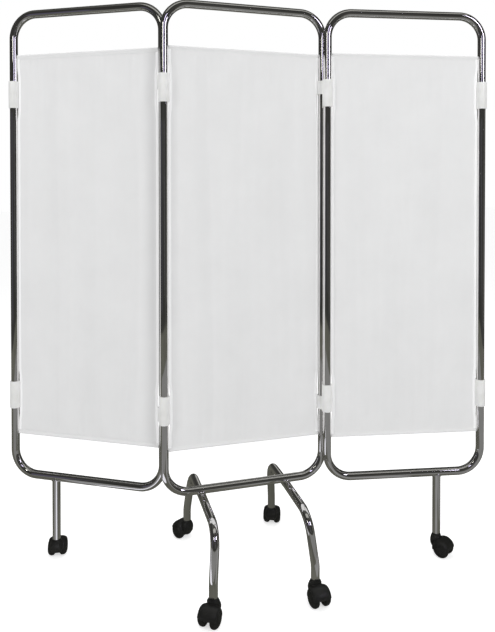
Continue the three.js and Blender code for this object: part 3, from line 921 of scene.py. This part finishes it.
# Clips
def sleeve_outline(centre, slit_heading):
    """A split ring seen from above: outer arc, rounded lip, inner arc and the other lip."""
    mid = (CLIP_R + CLIP_BORE_R) / 2
    lip = (CLIP_R - CLIP_BORE_R) / 2
    opening = (CLIP_SLIT / 2 + lip) / mid
    points = []

    def arc(radius, start, end, steps):
        for k in range(steps + 1):
            angle = start + (end - start) * k / steps
            points.append(centre + vec(radius * math.cos(angle), radius * math.sin(angle)))

    def rounded_lip(angle, turn):
        hub = centre + vec(mid * math.cos(angle), mid * math.sin(angle))
        for k in range(1, LIP_STEPS):
            swing = angle + (0 if turn > 0 else math.pi) + math.pi * k / LIP_STEPS
            points.append(hub + vec(lip * math.cos(swing), lip * math.sin(swing)))

    start, end = slit_heading + opening, slit_heading + 2 * math.pi - opening
    arc(CLIP_R, start, end, ARC_STEPS)
    rounded_lip(end, 1)
    arc(CLIP_BORE_R, end, start, ARC_STEPS)
    rounded_lip(start, -1)
    return points


def web_outline(pitch):
    """The block between two sleeves, hollowed by both."""
    mid = (CLIP_R + CLIP_BORE_R) / 2
    reach = math.asin(CLIP_WEB / mid)
    turns = [reach - 2 * reach * k / CLIP_WEB_STEPS for k in range(CLIP_WEB_STEPS + 1)]
    left = [vec(mid * math.cos(turn), mid * math.sin(turn)) for turn in turns]
    right = [vec(pitch - p.x, -p.y) for p in left]
    return left + right


def build_sleeve(name, place, slit_heading):
    half = CLIP_HEIGHT / 2
    return extruded(name, sleeve_outline(vec(0, 0), slit_heading), -half, half, nylon, place)


def build_outer_clip(name, panel, level):
    place = panel["place"] @ Matrix.Translation(vec(PANEL_WIDTH, 0, CLIP_LEVELS[level]))
    clip = build_sleeve(f"{name}_outer_sleeve_{level}", place, OUTER_SLITS[name])
    settle(clip, panel["body"], "clip_nylon", f"{name}_outer_clip_{level}")


def build_hinge_clip(side, level, full, half_stile, slits):
    """A full sleeve round one stile, half a sleeve round the next, and the web between them."""
    pitch = (half_stile - full).length
    tall = CLIP_HEIGHT / 2 - CLIP_STEP
    low, high = (0.0, tall) if level == "top" else (-tall, 0.0)
    upright = Matrix.Identity(4)
    clip = build_sleeve(f"{side}_hinge_sleeves_{level}", upright, slits[0])
    other = extruded("other_sleeve", sleeve_outline(vec(pitch, 0), slits[1]), low, high, nylon, upright)
    web = extruded("web", web_outline(pitch), low + 2 * CLIP_STEP, high - 2 * CLIP_STEP, nylon, upright)
    unite(clip, [web, other])
    place = placed(full, heading_of(full, half_stile)) @ Matrix.Translation(vec(0, 0, CLIP_LEVELS[level]))
    clip.data.transform(place)
    smooth_mesh(clip.data)
    settle(clip, f"{side}_clips", "clip_nylon", f"{side}_hinge_clip_{level}")


# Casters
def wheel_profile():
    """Radius against height outward from the wheel's inner face: bore, tread, domed cheek and hub cap."""
    points = [(0, AXLE_BORE_DEPTH), (AXLE_BORE_R, AXLE_BORE_DEPTH), (AXLE_BORE_R, 0.0)]
    points += INNER_GROOVE
    points.append((WHEEL_R - SHOULDER_IN_R, 0.0))
    for angle in fractions(SHOULDER_STEPS, math.pi / 2):
        reach = WHEEL_R - SHOULDER_IN_R * (1 - math.sin(angle))
        points.append((reach, SHOULDER_IN_Y * (1 - math.cos(angle))))
    dome = WHEEL_WIDTH - DOME_EDGE - DOME_START
    for angle in fractions(DOME_STEPS, DOME_TURN):
        reach = WHEEL_R - DOME_R + DOME_R * math.cos(angle)
        points.append((reach, DOME_START + dome * math.sin(angle) / math.sin(DOME_TURN)))
    points += [(radius, WHEEL_WIDTH - depth) for radius, depth in HUB_CAP]
    points.append((0, WHEEL_WIDTH))
    return points


def hood_section():
    """The hood's wall as (radius from the axle, sideways place), anticlockwise, open for the wheels."""
    outer = [(HOOD_R, HOOD_FLAT)]
    for angle in fractions(HOOD_ROUND_STEPS, HOOD_ROUND_TURN):
        reach = HOOD_R - HOOD_ROUND_R * (1 - math.cos(angle))
        outer.append((reach, HOOD_FLAT + HOOD_ROUND_Y * math.sin(angle)))
    inner = [(outer[-1][0] - HOOD_LIP_R, outer[-1][1] - HOOD_LIP_Y)]
    for angle in reversed(fractions(WELL_STEPS, WELL_TURN)):
        reach = WHEEL_R - DOME_R + (DOME_R + WELL_GAP) * math.cos(angle)
        inner.append((reach, WHEEL_INNER + DOME_START + (WHEEL_WIDTH - DOME_START) * math.sin(angle)))
    half = outer + inner
    return [(reach, -y) for reach, y in reversed(half)] + half


def hood_turns(steps):
    """Angles round the axle, from the hood's trailing end to its leading end."""
    return [HOOD_TRAILING + (HOOD_LEADING - HOOD_TRAILING) * k / steps for k in range(steps + 1)]


def round_axle(reach, angle, y):
    """A place in the housing's own frame: the stem at the origin, and the axle along +X from it."""
    return (CASTER_TRAIL + reach * math.cos(angle), y, WHEEL_R + reach * math.sin(angle))


def hood_shell():
    section = hood_section()
    vertices = [round_axle(reach, angle, y) for angle in hood_turns(HOOD_STEPS) for reach, y in section]
    faces = turned_over(skin(HOOD_STEPS + 1, len(section)))
    return mesh_object("hood_shell", vertices, faces, housing_black)


def hood_web():
    """The plate between the wheels, from the hood down to its lower edge above the floor."""
    outline = [(angle, WEB_R) for angle in hood_turns(WEB_STEPS)]
    outline += [(math.radians(degrees), reach) for degrees, reach in WEB_LOWER_EDGE]
    vertices = [round_axle(reach, angle, y) for y in (-WEB_HALF, WEB_HALF) for angle, reach in outline]
    return mesh_object("hood_web", vertices, turned_over(skin(2, len(outline))), housing_black)


def hood_boss():
    """The bell round the stem, widening down from the tube."""
    turns = fractions(BELL_SEGMENTS, 2 * math.pi)
    vertices = [(x + a * math.cos(t), b * math.sin(t), z) for z, x, a, b in BELL_RINGS for t in turns]
    return mesh_object("hood_boss", vertices, skin(len(BELL_RINGS), BELL_SEGMENTS), housing_black)


def housing_mesh():
    """The moulded housing of one caster, trailing along +X: shell, web and bell grown together."""
    hood = join_meshes(hood_shell(), [hood_web(), hood_boss()])
    grown = hood.modifiers.new("grown", "REMESH")
    grown.mode = "VOXEL"
    grown.voxel_size = HOUSING_VOXEL
    soft = hood.modifiers.new("soft", "SMOOTH")
    soft.iterations = HOUSING_SOFTENING
    soft.factor = 0.5
    apply_modifiers(hood)
    mesh = smooth_mesh(hood.data, SOFT_ANGLE)
    bpy.data.objects.remove(hood)
    return mesh


def socket_profile():
    """Radius against height of a flange under the tube's end, and the plug inside it."""
    low = BOSS_TOP + SEAT_GAP
    high = low + SOCKET_FLANGE
    return [
        (SOCKET_BORE_R, low),
        (TUBE_R - SOCKET_ROUND, low),
        (TUBE_R, low + SOCKET_ROUND),
        (TUBE_R, high - SOCKET_ROUND),
        (TUBE_R - SOCKET_ROUND, high),
        (SOCKET_PLUG_R, high),
        (SOCKET_PLUG_R, high + SOCKET_PLUG_HEIGHT),
        (SOCKET_BORE_R, high + SOCKET_PLUG_HEIGHT),
        (SOCKET_BORE_R, low),
    ]


def build_caster(name, body, housing):
    swivel = joint_place(f"{name}_caster_swivel")
    place = placed(swivel, heading_of(swivel, joint_place(f"{name}_wheel_a_roll")))
    hood = bpy.data.objects.new(f"{name}_hood", housing)
    bpy.context.scene.collection.objects.link(hood)
    hood.matrix_world = place
    settle(hood, f"{name}_caster", "caster_housing", f"{name}_caster_housing")
    for letter, side in (("a", 1), ("b", -1)):
        wheel_name = f"{name}_wheel_{letter}"
        hub = place @ Matrix.Translation(vec(CASTER_TRAIL, side * WHEEL_INNER, WHEEL_R))
        outward = hub @ Matrix.Rotation(-side * math.pi / 2, 4, "X")
        wheel = lathe(f"{wheel_name}_moulded", wheel_profile(), WHEEL_SEGMENTS, wheel_black, outward)
        settle(wheel, wheel_name, "caster_wheel", wheel_name)
    socket = lathe(f"{name}_socket", socket_profile(), SOCKET_SEGMENTS, housing_black, placed(swivel, 0))
    settle(socket, body, "caster_socket", f"{name}_tube_socket")
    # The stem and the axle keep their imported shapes
    for part in ("stem", "axle"):
        node = frame["nodes"][f"{name}_caster_{part}"]
        node.data.materials.clear()
        node.data.materials.append(steel)


def build_screen():
    for name, panel in PANELS.items():
        build_frame(name, panel)
        build_curtain(name, panel)
    for side in ("left", "right"):
        build_foot_weld(side, *build_foot_tube(side))
    for side in ("left", "right"):
        build_leg(side, PANELS[side])
    for level in CLIP_LEVELS:
        for side in ("left", "right"):
            build_outer_clip(side, PANELS[side], level)
        build_hinge_clip("left", level, centre_left, left_hinge, (SLIT_TURN, -SLIT_TURN))
        build_hinge_clip("right", level, right_hinge, centre_right, (-SLIT_TURN, -SLIT_TURN))
    housing = housing_mesh()
    for name, body in CASTER_BODIES.items():
        build_caster(name, body, housing)


# Studio
def backdrop_rays(owner):
    """1 for camera, glossy and transmission rays, which see the white surroundings."""
    rays = add_node(owner, "ShaderNodeLightPath").outputs
    mirrored = combined(owner, "MAXIMUM", rays["Is Camera Ray"], rays["Is Glossy Ray"])
    return combined(owner, "MAXIMUM", mirrored, rays["Is Transmission Ray"])


def build_world():
    world = bpy.data.worlds.new("studio")
    bpy.context.scene.world = world
    world.use_nodes = True
    light = world.node_tree.nodes["Background"]
    feed(world, (0.99, 0.995, 1.0, 1), light.inputs["Color"])
    feed(world, WORLD_STRENGTH, light.inputs["Strength"])
    white = add_node(world, "ShaderNodeBackground", Color=(1, 1, 1, 1), Strength=1.0)
    mix = add_node(world, "ShaderNodeMixShader")
    for output, socket in zip((backdrop_rays(world), light.outputs[0], white.outputs[0]), mix.inputs):
        feed(world, output, socket)
    feed(world, mix.outputs[0], world.node_tree.nodes["World Output"].inputs["Surface"])


def build_floor():
    material, shader = new_material("pale_floor", roughness=0.9)
    tint(material, shader, noise_field(material, scale=1.5), PALE_FLOOR)
    glow = combined(material, "MULTIPLY", backdrop_rays(material), FLOOR_GLOW)
    feed(material, glow, shader.inputs["Emission Strength"])
    feed(material, (1, 1, 1, 1), shader.inputs["Emission Color"])
    feed(material, 0.1, shader.inputs["Specular IOR Level"])
    half = FLOOR_SIZE / 2
    corners = [(-half, -half, 0), (half, -half, 0), (half, half, 0), (-half, half, 0)]
    mesh_object("floor", corners, [(0, 1, 2, 3)], material)


def glow_material(name, dim, bright, scale):
    """A glow that reflections show as it is, but plain and pale where a tube throws it on the cloth."""
    material = bpy.data.materials.new(name)
    material.use_nodes = True
    nodes = material.node_tree.nodes
    nodes.remove(nodes["Principled BSDF"])
    own = blend_colours(material, spread(material, noise_field(material, scale)), dim, bright)
    bounces = add_node(material, "ShaderNodeLightPath").outputs["Diffuse Depth"]
    onto_cloth = combined(material, "GREATER_THAN", bounces, 0.5)
    shown = blend_colours(material, onto_cloth, own, (BOUNCE, BOUNCE, BOUNCE))
    glow = add_node(material, "ShaderNodeEmission", Color=shown)
    feed(material, glow.outputs[0], nodes["Material Output"].inputs["Surface"])
    material.cycles.emission_sampling = "NONE"
    return material


def reflected(name, corners, faces, dim, bright, scale):
    """A glowing surface that only reflections show."""
    obj = mesh_object(name, corners, faces, glow_material(name, dim, bright, scale))
    obj.visible_camera = False
    obj.visible_diffuse = False
    obj.visible_transmission = False
    obj.visible_volume_scatter = False
    obj.visible_shadow = False


def dimmed(colour, share):
    return tuple(part * share for part in colour)


def build_room():
    ring = [(ROOM_R * math.cos(a), ROOM_R * math.sin(a)) for a in fractions(ROOM_SIDES, 2 * math.pi)]
    wall = [(x, y, z) for z in (ROOM_FOOT, ROOM_HEIGHT) for x, y in ring]
    whole = [tuple(range(ROOM_SIDES))]
    reflected("room_wall", wall, skin(2, ROOM_SIDES)[:ROOM_SIDES], *ROOM_WALL, scale=0.9)
    reflected("room_ceiling", wall[ROOM_SIDES:], whole, *ROOM_CEILING, scale=0.8)
    reflected("room_ground", [(x, y, GROUND_LIFT) for x, y in ring], whole, *ROOM_GROUND, scale=1.6)


def build_strip(name, heading, foot, head, colour):
    """An upright strip of light in the reflected room: foot and head are (height, half its width)."""
    centre = vec(STRIP_R * math.cos(heading), STRIP_R * math.sin(heading))
    across = vec(-math.sin(heading), math.cos(heading))
    ends = [(foot, -1), (foot, 1), (head, 1), (head, -1)]
    corners = [centre + across * (side * half) + vec(0, 0, height) for (height, half), side in ends]
    reflected(name, corners, [(0, 1, 2, 3)], dimmed(colour, 0.75), colour, scale=2.5)


def build_ceiling_band():
    near, far, colour = CEILING_BAND
    z = ROOM_HEIGHT - CEILING_BAND_DROP
    half = CEILING_BAND_HALF
    corners = [(-half, -far, z), (half, -far, z), (half, -near, z), (-half, -near, z)]
    reflected("overhead_band", corners, [(0, 1, 2, 3)], dimmed(colour, 0.8), colour, scale=2)


def build_patch(name, spot, heading, near, far, half_angle, colour):
    """A light wedge of the reflected ground before one spot: near and far are its distances from it."""
    steps = PATCH_HALF_STEPS
    turns = [heading + half_angle * k / steps for k in range(-steps, steps + 1)]
    corners = [spot + vec(r * math.cos(t), r * math.sin(t), PATCH_LIFT) for r in (near, far) for t in turns]
    count = len(turns)
    faces = [(i, i + 1, count + i + 1, count + i) for i in range(count - 1)]
    reflected(name, corners, faces, dimmed(colour, 0.8), colour, scale=6)


def build_lamp(name, position, target, size, power):
    data = bpy.data.lights.new(name, "AREA")
    data.shape = "RECTANGLE"
    data.size, data.size_y = size
    data.energy = power
    lamp = bpy.data.objects.new(name, data)
    bpy.context.scene.collection.objects.link(lamp)
    lamp.location = position
    lamp.rotation_euler = (Vector(target) - Vector(position)).to_track_quat("-Z", "Y").to_euler()
    lamp.visible_glossy = False


def build_camera():
    data = bpy.data.cameras.new("camera")
    data.sensor_width = SENSOR
    data.lens = LENS_PIXELS / PICTURE_HEIGHT * SENSOR
    data.shift_y = CAMERA_SHIFT
    data.clip_start, data.clip_end = CAMERA_REACH
    camera = bpy.data.objects.new("camera", data)
    bpy.context.scene.collection.objects.link(camera)
    dx, dy = CAMERA_FROM_STILE
    camera.location = vec(centre_left.x + dx, centre_left.y + dy, CAMERA_HEIGHT)
    camera.rotation_euler = (math.pi / 2 + CAMERA_PITCH, 0, CAMERA_YAW)
    bpy.context.scene.camera = camera


def build_studio():
    build_world()
    build_floor()
    build_room()
    for name, (heading, foot, head, colour) in STRIPS.items():
        build_strip(name, math.radians(heading), foot, head, colour)
    build_ceiling_band()
    for name, (wing, heading, near, far, half_angle, colour) in PATCHES.items():
        stem = joint_place(f"{wing}_caster_swivel") if wing else vec(0, 0)
        spot = vec(stem.x, stem.y)
        build_patch(name, spot, math.radians(heading), near, far, math.radians(half_angle), colour)
    for name, facts in LAMPS.items():
        build_lamp(name, *facts)
    build_camera()
    bpy.context.scene.view_settings.view_transform = "Standard"


build_screen()
build_studio()
